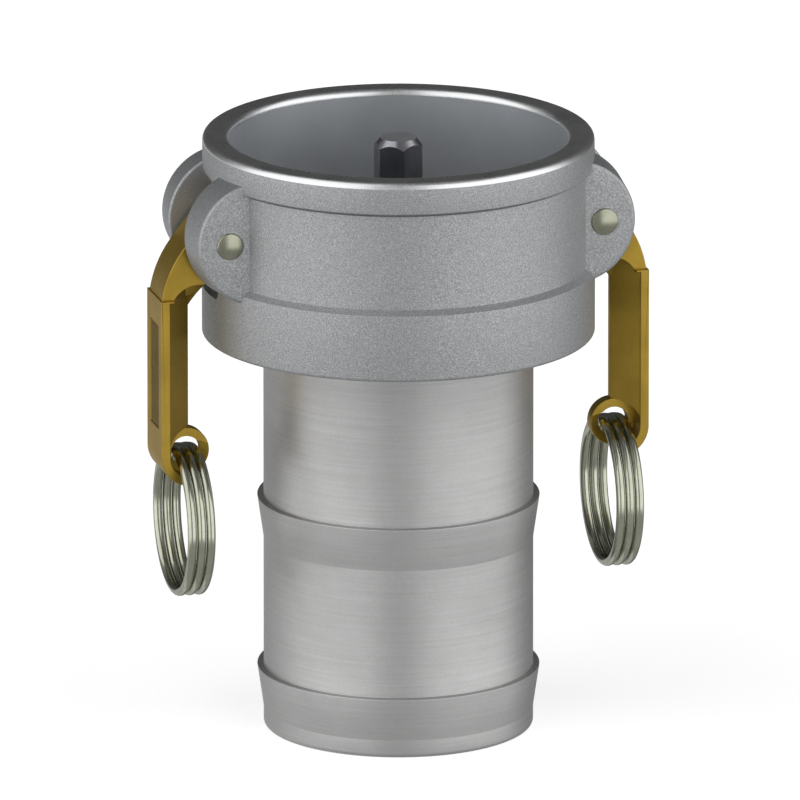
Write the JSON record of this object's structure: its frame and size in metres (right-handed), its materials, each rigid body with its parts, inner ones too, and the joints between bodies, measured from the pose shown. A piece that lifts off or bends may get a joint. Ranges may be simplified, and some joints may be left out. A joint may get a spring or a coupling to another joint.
{
  "type": "camlock coupling",
  "caption": "Cam-and-groove coupler with a hose shank, two cam arms on cross pins with coiled pull rings, a bowl gasket and a central hexagonal probe.",
  "frame": {"origin": "centre of the hose shank's end face, on the bowl's axis, at the part's lowest plane", "axes": "+Z along the bowl's axis, out of the open bowl; +X through the right-hand cam arm; +Y along the hinge pins"},
  "size_m": [0.1786, 0.1396, 0.2172],
  "materials": {
    "cast_aluminium": "fine cast grain outside, machined rim and bore",
    "turned_aluminium": "turned satin",
    "gasket_rubber": "matte moulded nitrile",
    "probe_steel": "drawn hexagonal bar",
    "fastener_steel": "zinc-plated",
    "arm_brass": "satin forged brass",
    "pin_steel": "polished stainless",
    "ring_steel": "bright drawn stainless wire"
  },
  "bodies": {
    "coupler": {"coupler_head": "cast_aluminium", "hose_shank": "turned_aluminium", "probe_spider": "cast_aluminium", "bowl_gasket": "gasket_rubber", "probe_post": "probe_steel", "probe_bolt": "fastener_steel", "probe_washer": "fastener_steel", "probe_lock_washer": "fastener_steel", "arm_pin_right": "pin_steel", "arm_pin_left": "pin_steel"},
    "right_arm": {"cam_arm_right": "arm_brass"},
    "left_arm": {"cam_arm_left": "arm_brass"},
    "right_ring": {"pull_ring_right": "ring_steel"},
    "left_ring": {"pull_ring_left": "ring_steel"}
  },
  "joints": [
    {"name": "right_arm_hinge", "type": "hinge", "parent": "coupler", "child": "right_arm", "pos_m": [0.0684, 0, 0.187], "axis": [0, -1, 0], "range_deg": [0, 115]},
    {"name": "left_arm_hinge", "type": "hinge", "parent": "coupler", "child": "left_arm", "pos_m": [-0.0684, 0, 0.187], "axis": [0, 1, 0], "range_deg": [0, 115]},
    {"name": "right_ring_swing", "type": "hinge", "parent": "right_arm", "child": "right_ring", "pos_m": [0.0785, 0, 0.1061], "axis": [0, -1, 0], "range_deg": [-18, 145]},
    {"name": "left_ring_swing", "type": "hinge", "parent": "left_arm", "child": "left_ring", "pos_m": [-0.0785, 0, 0.1061], "axis": [0, 1, 0], "range_deg": [-18, 145]}
  ]
}
